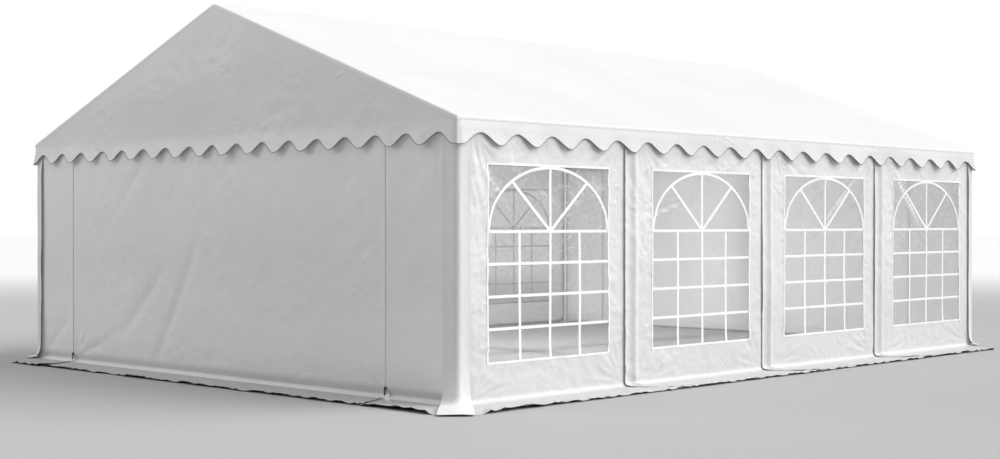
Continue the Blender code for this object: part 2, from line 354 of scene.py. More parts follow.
print("the walls' cloth is", CLOTH * 1000, "mm thick")

# %% Hang and finish


def apply_modifier(piece, kind, **settings):
    select_only(piece)
    modifier = piece.modifiers.new(kind.title(), kind)
    for setting, value in settings.items():
        setattr(modifier, setting, value)
    bpy.ops.object.modifier_apply(modifier=modifier.name)


def join(pieces, name):
    """Makes several pieces into one."""
    select_only(pieces[0])
    for piece in pieces:
        piece.select_set(True)
    bpy.ops.object.join()
    whole = bpy.context.object
    whole.name = name
    whole.data.name = name
    return whole


def hang(cloth, shape, mirrored=False, thickness=CLOTH):
    """Measures the flat cut, moves every point to its place and gives the cloth its thickness."""
    flat = read_places(cloth)
    u, v = flat[:, 0], flat[:, 1]
    write_places(cloth, np.column_stack(shape(u, v)))
    select_only(cloth)
    if mirrored:
        bpy.ops.object.mode_set(mode="EDIT")
        bpy.ops.mesh.select_all(action="SELECT")
        bpy.ops.mesh.flip_normals()
        bpy.ops.object.mode_set(mode="OBJECT")
    apply_modifier(cloth, "SOLIDIFY", thickness=thickness, offset=-1.0)
    bpy.ops.object.shade_smooth_by_angle(angle=math.radians(60.0))


def paint(piece, material):
    piece.data.materials.clear()
    piece.data.materials.append(material)


def finish_trim(piece, material):
    """Finishes a small piece that replaces no plain one: hem tape, window bars or a part of a zip."""
    paint(piece, material)
    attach(piece, "root")


def fasten(cloth, material, nodes):
    """Gives a hung cloth its material, puts it under the root body and hides the plain pieces that it
    replaces.
    """
    paint(cloth, material)
    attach(cloth, "root")
    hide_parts(*nodes)


print("tools to hang, join and finish pieces are ready")

# %% [markdown]
# ## Folds and creases
#
# Coated cloth is stiff. It doesn't flow like a curtain: it shows soft long folds where it is
# pulled, and many short sharp creases left from being packed. A few rules make them. Smooth noise
# gives broad waves. The lines where another noise changes its sign give networks of creases, and
# stretching that noise in one direction makes them run that way. Single folds are placed one by one:
# after the picture on the front and the right side, and made up on the two faces that it hides.

# %% Rules for folds


def smooth_step(value, low, high):
    share = np.clip((value - low) / (high - low), 0.0, 1.0)
    return share * share * (3.0 - 2.0 * share)


def hump(value, middle, width):
    return np.exp(-(((value - middle) / width) ** 2))


def blend(first, second, share):
    """The first value at a share of 0, the second one at 1, and a mix of both between."""
    return first * (1.0 - share) + second * share


def waves(a, b, size, layer):
    """Smooth noise from -1 to 1 with bumps of this size; each layer is another pattern."""
    spots = zip((a / size).tolist(), (b / size).tolist())
    return np.array([noise.noise((x, y, 3.7 * layer + 0.37)) for x, y in spots])


def creases(a, b, degrees, length, width, layer):
    """Soft creases that run in one direction: 1 along their crests and 0 away from them."""
    turn = math.radians(degrees)
    along = a * math.cos(turn) + b * math.sin(turn)
    aside = b * math.cos(turn) - a * math.sin(turn)
    bent = aside + 0.35 * width * waves(a, b, 0.6 * length, layer + 0.5)
    ridge = 1.0 - np.minimum(1.0, 1.7 * np.abs(waves(along * width / length, bent, width, layer)))
    patches = np.clip(0.5 + 1.8 * waves(a, b, 2.2 * length, layer + 0.7), 0.0, 1.0)
    return ridge * ridge * patches


def fold(a, b, start, end, width, height):
    """One soft fold between two places, which fades out towards its ends."""
    run_a, run_b = end[0] - start[0], end[1] - start[1]
    length = math.hypot(run_a, run_b)
    along = ((a - start[0]) * run_a + (b - start[1]) * run_b) / length**2
    aside = ((b - start[1]) * run_a - (a - start[0]) * run_b) / length
    return height * np.sin(np.pi * np.clip(along, 0.0, 1.0)) ** 0.8 * np.exp(-((aside / width) ** 2))


def pull(a, b, place, middle, spread, count, reach, height, seed):
    """A fan of folds that start at one place, where the cloth is pulled; angles in degrees."""
    chance = random.Random(seed)
    total = np.zeros(len(a))
    for number in range(count):
        turn = math.radians(middle + spread * (2 * (number + chance.uniform(0.2, 0.8)) / count - 1))
        length = reach * chance.uniform(0.5, 1.0)
        end = (place[0] + length * math.cos(turn), place[1] + length * math.sin(turn))
        sign = 1 if number % 2 else -1
        width = chance.uniform(0.013, 0.022)
        total += fold(a, b, place, end, width, sign * height * chance.uniform(0.5, 1.0))
    return total


print("rules for folds: waves, creases, single folds and fans of folds")

# %% [markdown]
# ## The coated cloth
#
# The real material is a fabric of white threads between two layers of soft plastic. It is nearly
# white, has a dull shine, and shows the fine grid of its threads from close by. One Principled
# shader does it: a slow noise makes the white a little uneven, two crossed bands of waves on the
# UV map are the threads, and a ridged noise is the packing creases that are too small to model.
# Its lightness also changes with the height above the ground, and this is painted light and shade.
# These tones were set after the picture: painted shade at the foot of the long walls, just above
# the end walls' fold, high on the gables, under the valance and on the roof's rolled eaves, and
# painted light low on the end walls and at the top of the valance, where the plain studio light
# gives other tones. One more mark darkens the flaps that lie on the ground: dust, and painted
# shade, most of it on the flaps of the end walls.

# %% Cloth material
WHITE = (0.80, 0.803, 0.813)
ROOF_WHITE = (0.80, 0.805, 0.815)
# Dark grey of the hem tape: a real binding, made this dark as painted shadow under the hem.
HEM_SHADOW_GREY = (0.17, 0.172, 0.176)
UNEVEN = 0.955
TONE_TOP = 2.5
# Painted light and shade by height: pairs of a height in metres and how light the cloth is painted there.
# Long walls: painted shade at the foot and under the valance, painted light at the valance's top. End walls:
# painted light on the flap and low on the wall, painted shade just above the fold and high on the gable.
# Corner strips: painted light at the foot, painted shade under the valance. Roof: painted shade on the rolled
# eaves.
SIDE_PAINTED_LIGHT = ((0.0, 0.85), (0.5, 0.91), (1.2, 0.99), (1.85, 0.96), (1.99, 0.84), (2.07, 0.86), (2.15, 1.02))
END_PAINTED_LIGHT = ((0.0, 1.12), (0.016, 1.10), (0.034, 0.88), (0.07, 0.92), (0.12, 1.09), (0.3, 1.13), (1.0, 1.0),
             (1.88, 1.0), (2.0, 0.93), (2.35, 0.86))
STRIP_PAINTED_LIGHT = ((0.0, 1.08), (0.3, 0.97), (1.85, 0.95), (2.0, 0.88))
ROOF_PAINTED_SHADE = ((0.0, 0.98), (2.14, 0.98), (2.19, 1.0))
EVEN_TONES = ((0.0, 1.0), (TONE_TOP, 1.0))


def cloth_material(name, colour, creasing, painted_light_by_height, gloss=(0.36, 0.52), specular=0.5):
    """The table by height: pairs of a height in metres and how light the cloth is painted there, as painted
    light and shade.
    """
    made, tree, shader = new_material(name)
    outputs = add_node(tree, "ShaderNodeTexCoord").outputs
    place, flat_cut = outputs["Object"], outputs["UV"]
    cloudy = noise_of(tree, place, Scale=0.9, Detail=4.0, Roughness=0.55)
    white = tones(tree, cloudy, ((0.3, [UNEVEN * part for part in colour]), (0.7, colour)))
    split = add_node(tree, "ShaderNodeSeparateXYZ", Vector=place)
    height = stretch(tree, split.outputs["Z"], From_Max=TONE_TOP)
    # Painted light and shade: the cloth is made lighter or darker by its height, after the table.
    painted_light = tones(tree, height, [(level / TONE_TOP, (tone, tone, tone)) for level, tone in painted_light_by_height])
    white_with_painted_light = add_node(tree, "ShaderNodeMix", data_type="RGBA", blend_type="MULTIPLY", Factor=1.0, A=white,
                     B=painted_light).outputs["Result"]
    # Dust and painted shade: a mark on each cloth darkens the flaps that lie on the ground.
    dust_and_shade = add_node(tree, "ShaderNodeAttribute", attribute_name="dust_and_shade").outputs["Fac"]
    free_of_dust_and_shade = calculate(tree, "SUBTRACT", 1.0, dust_and_shade)
    dimmed = add_node(tree, "ShaderNodeVectorMath", operation="SCALE", Vector=white_with_painted_light, Scale=free_of_dust_and_shade)

    shine = noise_of(tree, place, Scale=7.0, Detail=3.0)
    rough = stretch(tree, shine, To_Min=gloss[0], To_Max=gloss[1])

    threads = []
    for axis in ("X", "Y"):
        thread = add_node(tree, "ShaderNodeTexWave", bands_direction=axis, Vector=flat_cut, Scale=150.0)
        threads.append(thread.outputs["Fac"])
    woven = bumps(tree, calculate(tree, "ADD", *threads), 0.12, 0.0004)

    packed = noise_of(tree, place, Scale=9.0, Detail=3.0, Roughness=0.5, Distortion=1.2,
                      noise_type="RIDGED_MULTIFRACTAL")
    where = noise_of(tree, place, Scale=1.7, Detail=1.0)
    share = stretch(tree, where, From_Min=0.42, From_Max=0.62, To_Min=0.25)
    creased = bumps(tree, calculate(tree, "MULTIPLY", packed, share), creasing, 0.02, Normal=woven)
    set_inputs(tree, shader, Base_Color=dimmed.outputs["Vector"], Roughness=rough, Normal=creased,
               Specular_IOR_Level=specular)
    return made


wall_cloth = cloth_material("white_coated_cloth", WHITE, 0.44, SIDE_PAINTED_LIGHT)
end_cloth = cloth_material("white_coated_cloth_end", WHITE, 0.26, END_PAINTED_LIGHT)
strip_cloth = cloth_material("white_coated_cloth_strip", WHITE, 0.12, STRIP_PAINTED_LIGHT)
# Hem tape: its dark grey is painted shadow.
hem_shadow_cloth = cloth_material("hem_tape_painted_shadow", HEM_SHADOW_GREY, 0.1, EVEN_TONES)
roof_cloth = cloth_material("white_roof_cloth", ROOF_WHITE, 0.10, ROOF_PAINTED_SHADE, (0.50, 0.62), 0.15)
print("materials", wall_cloth.name, roof_cloth.name)

# %% [markdown]
# ## Roof cover
#
# One cloth runs from eave to eave over the ridge tube. It is laid over a grid that follows the two
# slopes; the ridge is rounded over its tube, all four edges roll over the frame, and between the
# rafters the cloth sags by a finger's width and lies in slow waves.

# %% Roof cover
RIDGE_ROUNDING = 0.02
EDGE_ROLL = 0.022
EDGE_DROP = 0.008
ROOF_SAG = 0.016


def roof_height(y):
    """Height of the roof's upper face over a place across the tent."""
    return RIDGE_HEIGHT - ROOF_SLOPE * (np.sqrt(y * y + RIDGE_ROUNDING**2))


def roll_over(distance, start, quarter):
    """How far out and how far down a cloth gets that turns over an edge after a flat start."""
    turn = np.clip((distance - start) / EDGE_ROLL, 0.0, quarter)
    hanging = np.maximum(0.0, distance - start - EDGE_ROLL * quarter)
    return turn, hanging


EAVE_ROLL_START = EAVE_SIDE - EDGE_ROLL * (1.0 - math.sin(ROOF_ANGLE))
EAVE_FLAT = EAVE_ROLL_START / math.cos(ROOF_ANGLE)
EAVE_TURN = math.pi / 2 - ROOF_ANGLE
VERGE_FLAT = EAVE_END - EDGE_ROLL


def roof_shape(u, v):
    side, end = np.sign(v), np.sign(u)
    turn, hanging = roll_over(np.abs(v), EAVE_FLAT, EAVE_TURN)
    flat = np.minimum(np.abs(v), EAVE_FLAT) * math.cos(ROOF_ANGLE)
    out = flat + EDGE_ROLL * (np.sin(ROOF_ANGLE + turn) - math.sin(ROOF_ANGLE))
    drop = EDGE_ROLL * (math.cos(ROOF_ANGLE) - np.cos(ROOF_ANGLE + turn)) + hanging
    end_turn, end_hanging = roll_over(np.abs(u), VERGE_FLAT, math.pi / 2)
    x = np.minimum(np.abs(u), VERGE_FLAT) + EDGE_ROLL * np.sin(end_turn)
    end_drop = EDGE_ROLL * (1.0 - np.cos(end_turn)) + end_hanging
    inside = smooth_step(EAVE_FLAT - np.abs(v), 0.02, 0.3) * smooth_step(VERGE_FLAT - np.abs(u), 0.02, 0.3)
    between = np.sin(np.pi * (u + HALF_RUN) / BAY) ** 2
    sag = ROOF_SAG * between * np.sin(np.pi * np.clip(np.abs(v) / EAVE_FLAT, 0.0, 1.0))
    slow = 0.013 * waves(u + 0.6 * v, 1.8 * v, 1.2, 1) + 0.005 * waves(u, v, 0.45, 2)
    z = roof_height(flat) - drop - end_drop + inside * (slow * (0.3 + 0.7 * between) - sag)
    return end * x, side * out, z


# The steps of the grid are fine where the cloth turns over an edge or the ridge.
EDGE_STEP = 0.003
MARGIN = 0.3
MARGIN_STEP = 0.045
RIDGE_HALF = 0.08
RIDGE_STEP = 0.008
RUN_STEP = 0.070
SLOPE_STEP = 0.068

roll = EDGE_ROLL * math.pi / 2 + EDGE_DROP
eave_roll = EDGE_ROLL * EAVE_TURN + EDGE_DROP
roof_u = [-VERGE_FLAT - roll, -VERGE_FLAT, -VERGE_FLAT + MARGIN]
roof_u += [VERGE_FLAT - MARGIN, VERGE_FLAT, VERGE_FLAT + roll]
roof_v = [-EAVE_FLAT - eave_roll, -EAVE_FLAT, -EAVE_FLAT + MARGIN, -RIDGE_HALF]
roof_v += [RIDGE_HALF, EAVE_FLAT - MARGIN, EAVE_FLAT, EAVE_FLAT + eave_roll]
columns = stations(roof_u, [EDGE_STEP, MARGIN_STEP, RUN_STEP, MARGIN_STEP, EDGE_STEP])
rows = stations(roof_v, [EDGE_STEP, MARGIN_STEP, SLOPE_STEP, RIDGE_STEP, SLOPE_STEP, MARGIN_STEP, EDGE_STEP])
roof = cut_cloth("roof_cover", columns, rows)
hang(roof, roof_shape)
fasten(roof, roof_cloth, ["right_roof", "left_roof"])

# %% [markdown]
# ## Scalloped edge: valances and gables
#
# A strip with a wavy hem hangs from each eave, and at the two ends it is one cloth with the gable
# triangle. The rows of the grid are squeezed between the straight top and the wavy hem, so that
# the hem is smooth without any cutting. Towards the hem the strip stands off the wall, which is
# why a dark line shows under it, and its lobes curl a little. At the corners both cloths bend
# round and meet on the diagonal, in the middle of a lobe. A thin dark grey tape is sewn round the
# hem, and its dark colour is painted shadow that deepens the line under the hem. A ring of points
# is carried along the edge for it, and the rings are joined into a cord.

# %% Scallops
SIDE_LOBES = 20
GABLE_LOBES = 17
STEPS_PER_LOBE = 16
NOTCH_HEIGHT = EAVE_HEIGHT - 0.117
UNDER_ROLL = 0.0095
CORNER_RADIUS = 0.028
INSET = 0.0020
LOOSE_BELOW = EAVE_HEIGHT - 0.03
HEM_STAND_OFF = 0.028
LOBE_CURL = 0.003
VALANCE_SIDE = EAVE_SIDE - INSET
VALANCE_END = EAVE_END - INSET


def hem_height(share, lobes):
    """Height of the hem; share runs from -1 to 1, and a lobe hangs on each end."""
    middle, swing = (NOTCH_HEIGHT + LOBE_TIP) / 2, (NOTCH_HEIGHT - LOBE_TIP) / 2
    return middle - swing * np.cos(2 * math.pi * lobes * (share + 1) / 2)


def round_corner(u, half_run, half_width):
    """Plan of a cloth that bends round the corner at both ends: place along, across and normal."""
    straight = half_run - CORNER_RADIUS
    turn = np.maximum(0.0, np.abs(u) - straight) / CORNER_RADIUS
    along = np.sign(u) * (np.minimum(np.abs(u), straight) + CORNER_RADIUS * np.sin(turn))
    across = half_width - CORNER_RADIUS * (1.0 - np.cos(turn))
    return along, across, np.sign(u) * np.sin(turn), np.cos(turn)


def flat_half(half_run):
    return half_run - CORNER_RADIUS + CORNER_RADIUS * math.pi / 4


def stand_off(share, lobes, z, u, layer):
    """How far the strip stands out below the eave: flared, curled in lobes and a bit uneven."""
    depth = np.clip((LOOSE_BELOW - z) / (LOOSE_BELOW - LOBE_TIP), 0.0, 1.2)
    inner = 1.0 - smooth_step(np.abs(share), 0.97, 1.0)
    flare = HEM_STAND_OFF * depth**1.3
    curl = LOBE_CURL * np.cos(2 * math.pi * lobes * (share + 1) / 2 + 1.1 * inner) * depth**2
    uneven = (0.013 * waves(u, z, 0.33, layer) + 0.016 * waves(u, 0.3 * z, 0.9, layer + 1)) * depth
    return flare + curl + inner * uneven


def valance_columns(half, lobes):
    return np.linspace(-half, half, lobes * STEPS_PER_LOBE + 1)


print("hems from", round(LOBE_TIP, 3), "to", round(NOTCH_HEIGHT, 3), "m above the ground")

# %% Valances along the eaves
SIDE_FLAT = flat_half(VALANCE_END)
VALANCE_ROWS = 12
LOBE_PLACES = (-4.1, -3.8, -3.0, -1.6, -0.5, 0.4, 1.2, 3.9)
LOBE_SHIFTS = (0.0, 0.040, 0.037, 0.025, 0.010, -0.025, -0.020, 0.0)


def build_valance(word, side, layer):
    top = EAVE_HEIGHT - UNDER_ROLL

    def share(u):
        """Place along the row of lobes from -1 to 1; they were not cut quite evenly."""
        return (u - np.interp(u, LOBE_PLACES, LOBE_SHIFTS)) / SIDE_FLAT

    def trim(u, v):
        return u, top + v * (top - hem_height(share(u), SIDE_LOBES))

    def shape(u, v):
        x, y, normal_x, normal_y = round_corner(u, VALANCE_END, VALANCE_SIDE)
        out = stand_off(share(u), SIDE_LOBES, v, u, layer)
        return x + normal_x * out, side * (y + normal_y * out), v

    rows = stations([-1.0, 0.0], [1 / VALANCE_ROWS])
    cloth = cut_cloth(f"{word}_valance_cloth", valance_columns(SIDE_FLAT, SIDE_LOBES), rows, trim)
    hang(cloth, shape, mirrored=side > 0)
    fasten(cloth, wall_cloth, [f"{word}_valance"])


build_valance("right", -1, 3)
build_valance("left", 1, 5)

# %% Hem tape
HEM_TAPE = 0.0052
HEM_SIDES = 6
SAME_PLACE = 0.0002


def build_hem_tape(cloth, columns):
    """A round cord of bias tape along the lower edge of a scalloped cloth; its dark grey is painted shadow
    under the hem.
    """
    edge = read_places(cloth)[:columns]
    run = np.gradient(edge, axis=0)
    run /= np.linalg.norm(run, axis=1)[:, None]
    outward = edge * (1.0, 1.0, 0.0)
    across = np.cross(run, outward)
    across /= np.linalg.norm(across, axis=1)[:, None]
    outward = np.cross(across, run)
    rings, sides = np.arange(columns, dtype=float), np.arange(HEM_SIDES + 1, dtype=float)
    tape = cut_cloth(f"{cloth.name}_hem", rings, sides)
    flat = np.rint(read_places(tape)).astype(int)
    turn = flat[:, 1] * 2 * math.pi / HEM_SIDES
    circle = across[flat[:, 0]] * np.cos(turn)[:, None] + outward[flat[:, 0]] * np.sin(turn)[:, None]
    write_places(tape, edge[flat[:, 0]] + 0.5 * HEM_TAPE * circle)
    select_only(tape)
    bpy.ops.object.mode_set(mode="EDIT")
    bpy.ops.mesh.select_all(action="SELECT")
    bpy.ops.mesh.remove_doubles(threshold=SAME_PLACE)
    bpy.ops.mesh.normals_make_consistent(inside=False)
    bpy.ops.object.mode_set(mode="OBJECT")
    bpy.ops.object.shade_smooth()
    finish_trim(tape, hem_shadow_cloth)


for word in ("right", "left"):
    build_hem_tape(bpy.data.objects[f"{word}_valance_cloth"], SIDE_LOBES * STEPS_PER_LOBE + 1)
print("hem tape", HEM_TAPE * 1000, "mm thick")

# %% Gables
END_FLAT = flat_half(VALANCE_SIDE)
GABLE_ROWS = 42
CLOSER_AT_HEM = 1.15


def gable_relief(y, z, layer):
    """Creases and soft folds of a gable, larger towards its middle."""
    inner = smooth_step(RIDGE_HEIGHT - ROOF_SLOPE * np.abs(y) - z, 0.02, 0.3)
    soft = 0.009 * waves(y, z, 0.55, layer) + 0.0030 * waves(y, z, 0.16, layer + 1)
    sharp = 0.0050 * creases(y, z, -58.0, 0.34, 0.14, layer + 2)
    sharp += 0.0045 * creases(y, z, 24.0, 0.26, 0.13, layer + 3)
    return inner * (soft + sharp)


def build_gable(word, end, layer):
    def trim(u, v):
        low = hem_height(u / END_FLAT, GABLE_LOBES)
        high = roof_height(round_corner(u, VALANCE_SIDE, VALANCE_END)[0]) - UNDER_ROLL
        return u, low + v * (high - low)

    def shape(u, v):
        y, x, normal_y, normal_x = round_corner(u, VALANCE_SIDE, VALANCE_END)
        inner = 1.0 - smooth_step(np.abs(u), END_FLAT - 0.25, END_FLAT - 0.03)
        out = stand_off(u / END_FLAT, GABLE_LOBES, v, u, layer)
        out += gable_relief(u, v, layer + 2) * inner
        return end * (x + normal_x * out), -(y + normal_y * out), v

    rows = stations([0.0, 1.0], [1 / GABLE_ROWS]) ** CLOSER_AT_HEM
    cloth = cut_cloth(f"{word}_gable_cloth", valance_columns(END_FLAT, GABLE_LOBES), rows, trim)
    hang(cloth, shape, mirrored=end > 0)
    fasten(cloth, end_cloth, [f"{word}_gable"])


build_gable("front", -1, 7)
build_gable("rear", 1, 15)
for word in ("front", "rear"):
    build_hem_tape(bpy.data.objects[f"{word}_gable_cloth"], GABLE_LOBES * STEPS_PER_LOBE + 1)

# %% [markdown]
# ## How a wall meets the ground
#
# Every wall cloth is longer than the wall is high: at the foot it turns outward and lies on the
# ground as a flap. Its flat place v is measured from the fold, upward for the wall and downward
# for the flap. The fold is a quarter of a circle, so the length of the cloth stays true. At each
# corner of the tent a strip lies over the flaps and holds them down.

# %% Foot of a wall
SIDE_FOOT = 0.045
END_FOOT = 0.020
FLAP = -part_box("right_ground_flap")[0].y - WALL_SIDE
FOLD_END = 0.04
FLAP_LEVEL = 0.0018
EDGE_RISE = 0.009
SHORT_WAVES = 0.021
LONG_WAVES = 0.024
CORNER_RISE = 0.013
HELD_FROM = 2.06
HELD_TO = 2.12
STRIP_REACHES = {"front_right": 0.59, "front_left": 0.09, "rear_right": 0.06, "rear_left": 0.14}
STRIP_EDGE = 0.145
BESIDE_STRIP = 0.20
DIAGONAL = math.sqrt(0.5)


def foot_path(v, radius):
    """Distance out, height, and tilt of the face, for flat places above and below the fold."""
    quarter = radius * math.pi / 4
    tilt = np.clip((quarter - v) / radius, 0.0, math.pi / 2)
    out = radius * (1.0 - np.cos(tilt)) + np.maximum(0.0, -quarter - v)
    up = radius * (1.0 - np.sin(tilt)) + np.maximum(0.0, v - quarter)
    return out, up, tilt


def above_fold(height, radius):
    """Flat place of a height on the wall, above the rounded fold."""
    return height - radius * (1.0 - math.pi / 4)


def past_fold(v):
    """Length of cloth beyond the fold."""
    return np.maximum(0.0, -FOLD_END - v)


def flap_lift(u, v, layer):
    """The flap lies on the ground and is lifted a little in waves along its outer edge."""
    share = np.clip(past_fold(v) / FLAP, 0.0, 1.0)
    short = np.clip(1.0 - 2.2 * np.abs(waves(u, v, 0.16, layer)), 0.0, 1.0)
    long = np.clip(waves(u, v, 0.55, layer + 1), 0.0, 1.0)
    return FLAP_LEVEL + (EDGE_RISE + SHORT_WAVES * short**2 + LONG_WAVES * long) * share**2


def corner_lift(past_corner, beyond):
    """The outer edge of a flap also stands up where it ends at a corner."""
    return CORNER_RISE * (beyond / FLAP) ** 2 * hump(past_corner, -0.05, 0.30)


def free_of_strip(past_corner, beyond, reach):
    """0.1 where a corner strip lies over a flap, along the corner's diagonal, and 1 away from it."""
    aside = smooth_step(np.abs(beyond - past_corner) * DIAGONAL, STRIP_EDGE, BESIDE_STRIP)
    past_tip = smooth_step((beyond + past_corner) * DIAGONAL, reach, reach + 0.12)
    return 0.1 + 0.9 * np.maximum(aside, past_tip)


def flap_relief(u, v, wall_half, corners, layer):
    """How high the flap lies between two corners of the tent, which are named from -u to +u."""
    beyond = past_fold(v)
    past_corner = np.abs(u) - wall_half
    reach = np.where(u < 0, STRIP_REACHES[corners[0]], STRIP_REACHES[corners[1]])
    low = free_of_strip(past_corner, beyond, reach)
    return low * (flap_lift(u, v, layer) + corner_lift(past_corner, beyond))


def flap_reach(u, layer):
    """The outer edge isn't cut quite straight: the flap's length as a share of the full one."""
    return 0.96 + 0.03 * waves(u, 0.0 * u, 0.24, layer) + 0.03 * waves(u, 0.0 * u, 1.1, layer + 1)


def held_at_top(up):
    """Folds get low where a wall is fastened under the eave."""
    return 1.0 - 0.8 * smooth_step(up, HELD_FROM, HELD_TO)


print("flaps of", round(FLAP, 3), "m")

# %% [markdown]
# ## Long walls
#
# A long wall has four cloths. Each one starts with a band that laps over its neighbour's edge and
# is pulled round the post behind it, so that the post shows as a soft bulge with a dark gap beside
# the lap. The rest is nearly flat. It is creased beside the bands and the window, where the cloth
# is pulled, and near the foot, where it is loose.

# %% Relief of the long walls
WALL_STEP = 0.0208
LAP = 0.035
BULGE = 0.021
BULGE_PLACE = 0.045
BULGE_WIDTHS = (0.042, 0.030)
BULGE_ENDS = (1.92, 2.08)
LAP_GAP = 0.014
EDGE_PULLS = 6
EDGE_PLACE = 0.11

# Creases of a long wall: direction in degrees, length, width and height.
SIDE_CREASES = ((40.0, 0.26, 0.075, 0.0048), (-48.0, 0.24, 0.075, 0.0048), (8.0, 0.22, 0.070, 0.0040))

# Single folds: start and end, then width and height. Those on the left can't be seen in the picture.
PLACED_FOLDS = {
    "right": [
        ((-3.92, 2.00), (-3.60, 1.00), 0.020, 0.0042),
        ((-3.90, 2.00), (-3.40, 1.38), 0.018, -0.0036),
        ((-3.88, 2.02), (-3.24, 1.70), 0.020, 0.0036),
        ((-3.93, 1.85), (-3.78, 0.90), 0.017, -0.0030),
        ((-1.93, 1.36), (-1.10, 1.59), 0.022, 0.009),
        ((1.74, 1.96), (0.76, 1.20), 0.024, 0.008),
        ((2.24, 1.97), (2.92, 1.28), 0.024, 0.008),
    ],
    "left": [
        ((-0.10, 1.90), (0.70, 1.35), 0.024, 0.008),
        ((3.74, 1.95), (3.10, 1.20), 0.024, 0.008),
    ],
}
# A wall is pulled at its four corners: place in the bay, then direction and spread of the folds.
CORNER_PULLS = (
    ((0.12, 0.04), 40, 32),
    ((BAY - 0.12, 0.04), 142, 32),
    ((0.13, 2.05), -48, 30),
    ((BAY - 0.13, 2.05), -138, 34),
)


def side_relief(word, x, z, layer):
    """How far a long wall's cloth stands out between its bands, in metres."""
    start = np.floor((x + HALF_RUN) / BAY) * BAY - HALF_RUN
    near = x - start
    relief = 0.0070 * waves(x, z, 0.75, layer) + 0.0030 * waves(x, z, 0.16, layer + 1)
    for number, (degrees, length, width, height) in enumerate(SIDE_CREASES, 2):
        relief += height * creases(x, z, degrees, length, width, layer + number)
    relief += 0.0090 * creases(x, z, 3.0, 0.45, 0.085, layer + 5) * hump(z, 0.15, 0.09)
    for number, (corner, middle, spread) in enumerate(CORNER_PULLS):
        relief += pull(near, z, corner, middle, spread, 8, 0.60, 0.0065, layer + number)
    for number in range(EDGE_PULLS):
        height = 0.40 + 0.27 * number
        relief += pull(near, z, (EDGE_PLACE, height), 12, 30, 4, 0.26, 0.0048, layer + 11 + number)
        relief += pull(near, z, (BAY - EDGE_PLACE, height), 168, 30, 4, 0.26, 0.0048, layer + 17 + number)
    for place, end, width, amount in PLACED_FOLDS[word]:
        relief += fold(x, z, place, end, width, amount)
    return relief


def band_profile(from_post, z, beyond):
    """The band's stand-off: a free edge, a flat stretch, and a bulge where it passes the post."""
    upper = 1.0 - 0.75 * smooth_step(z, *BULGE_ENDS)
    ground = np.exp(-beyond / 0.07)
    width = np.where(from_post < BULGE_PLACE, *BULGE_WIDTHS)
    bulge = BULGE * hump(from_post, BULGE_PLACE, width) * upper * ground
    edge = LAP_GAP * np.exp(-np.maximum(0.0, from_post + SEAM_BEFORE_POST) / 0.03)
    return bulge + edge * (0.3 + 0.7 * upper) * (0.18 + 0.82 * np.exp(-beyond / 0.03))


print("bands bulge by", BULGE * 1000, "mm beside the posts")

# %% Long walls
FLAP_SLANT = 0.75
FIRST_SLANT = {"right": -0.80, "left": 1.0}
LAST_SLANT = -0.72
# How much the flaps of the long walls are darkened: dust and a little painted shade.
SIDE_DUST_AND_SHADE = 0.07
BAND_STEP = 0.012
FLAP_STEP = 0.026
SIDES = (("right", -1, 20), ("left", 1, 70))


def build_side_wall(word, side, number, layer):
    low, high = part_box(f"{word}_wall_{number}")
    window_low, window_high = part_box(f"{word}_window_{number}")
    first, last = number == 1, number == 4
    start = low.x + (0.03 if first else 0.0)
    end = high.x + LAP
    post = low.x + SEAM_BEFORE_POST
    sill, head = above_fold(window_low.z, SIDE_FOOT), above_fold(window_high.z, SIDE_FOOT)
    slant_start = FIRST_SLANT[word] if first else FLAP_SLANT
    slant_end = LAST_SLANT if last else FLAP_SLANT

    def trim(u, v):
        reach = 1.0 - (1.0 - flap_reach(u, layer + 6)) * smooth_step(-v, 0.1, FLAP)
        slant = blend(slant_start, slant_end, (u - start) / (end - start))
        return u + slant * past_fold(v) * reach, v * reach

    def shape(u, v):
        out, up, tilt = foot_path(v, SIDE_FOOT)
        beyond = past_fold(v)
        wall = smooth_step(v, -0.05, 0.06)
        shown = 0.08 + 0.92 * smooth_step(HALF_RUN + 0.03 - np.abs(u), 0.10, 0.17)
        lift = flap_relief(u, v, WALL_END, (f"front_{word}", f"rear_{word}"), layer + 8)
        relief = wall * shown * side_relief(word, u, up, layer) + (1.0 - wall) * lift
        if not first:
            relief += band_profile(u - post - FLAP_SLANT * beyond, up, beyond)
        under_next = smooth_step(u - end - slant_end * beyond, -LAP - 0.03, -LAP + 0.01)
        relief = blend(relief, CLOTH * (1.0 - wall), under_next) * held_at_top(up)
        y = WALL_SIDE + out + relief * np.cos(tilt)
        return u, side * y, up + relief * np.sin(tilt)

    columns = [start, start + 0.21, window_low.x, window_high.x, end]
    rows = [-FLAP, -0.09, 0.09, sill, head, above_fold(WALL_TOP, SIDE_FOOT)]
    across = stations(columns, [BAND_STEP, WALL_STEP, WALL_STEP, WALL_STEP])
    along = stations(rows, [FLAP_STEP, BAND_STEP, WALL_STEP, WALL_STEP, WALL_STEP])
    cloth = cut_cloth(f"{word}_wall_cloth_{number}", across, along, trim)
    cut_hole(cloth, (window_low.x, sill), (window_high.x, head))
    # Dust and a little painted shade on the flap that lies on the ground.
    mark(cloth, "dust_and_shade", SIDE_DUST_AND_SHADE * smooth_step(-read_places(cloth)[:, 1], 0.0, 0.08))
    hang(cloth, shape, mirrored=side > 0)
    fasten(cloth, wall_cloth, [f"{word}_wall_{number}", f"{word}_ground_flap"])


for number in range(1, 5):
    for word, side, layer in SIDES:
        build_side_wall(word, side, number, layer + 10 * number)

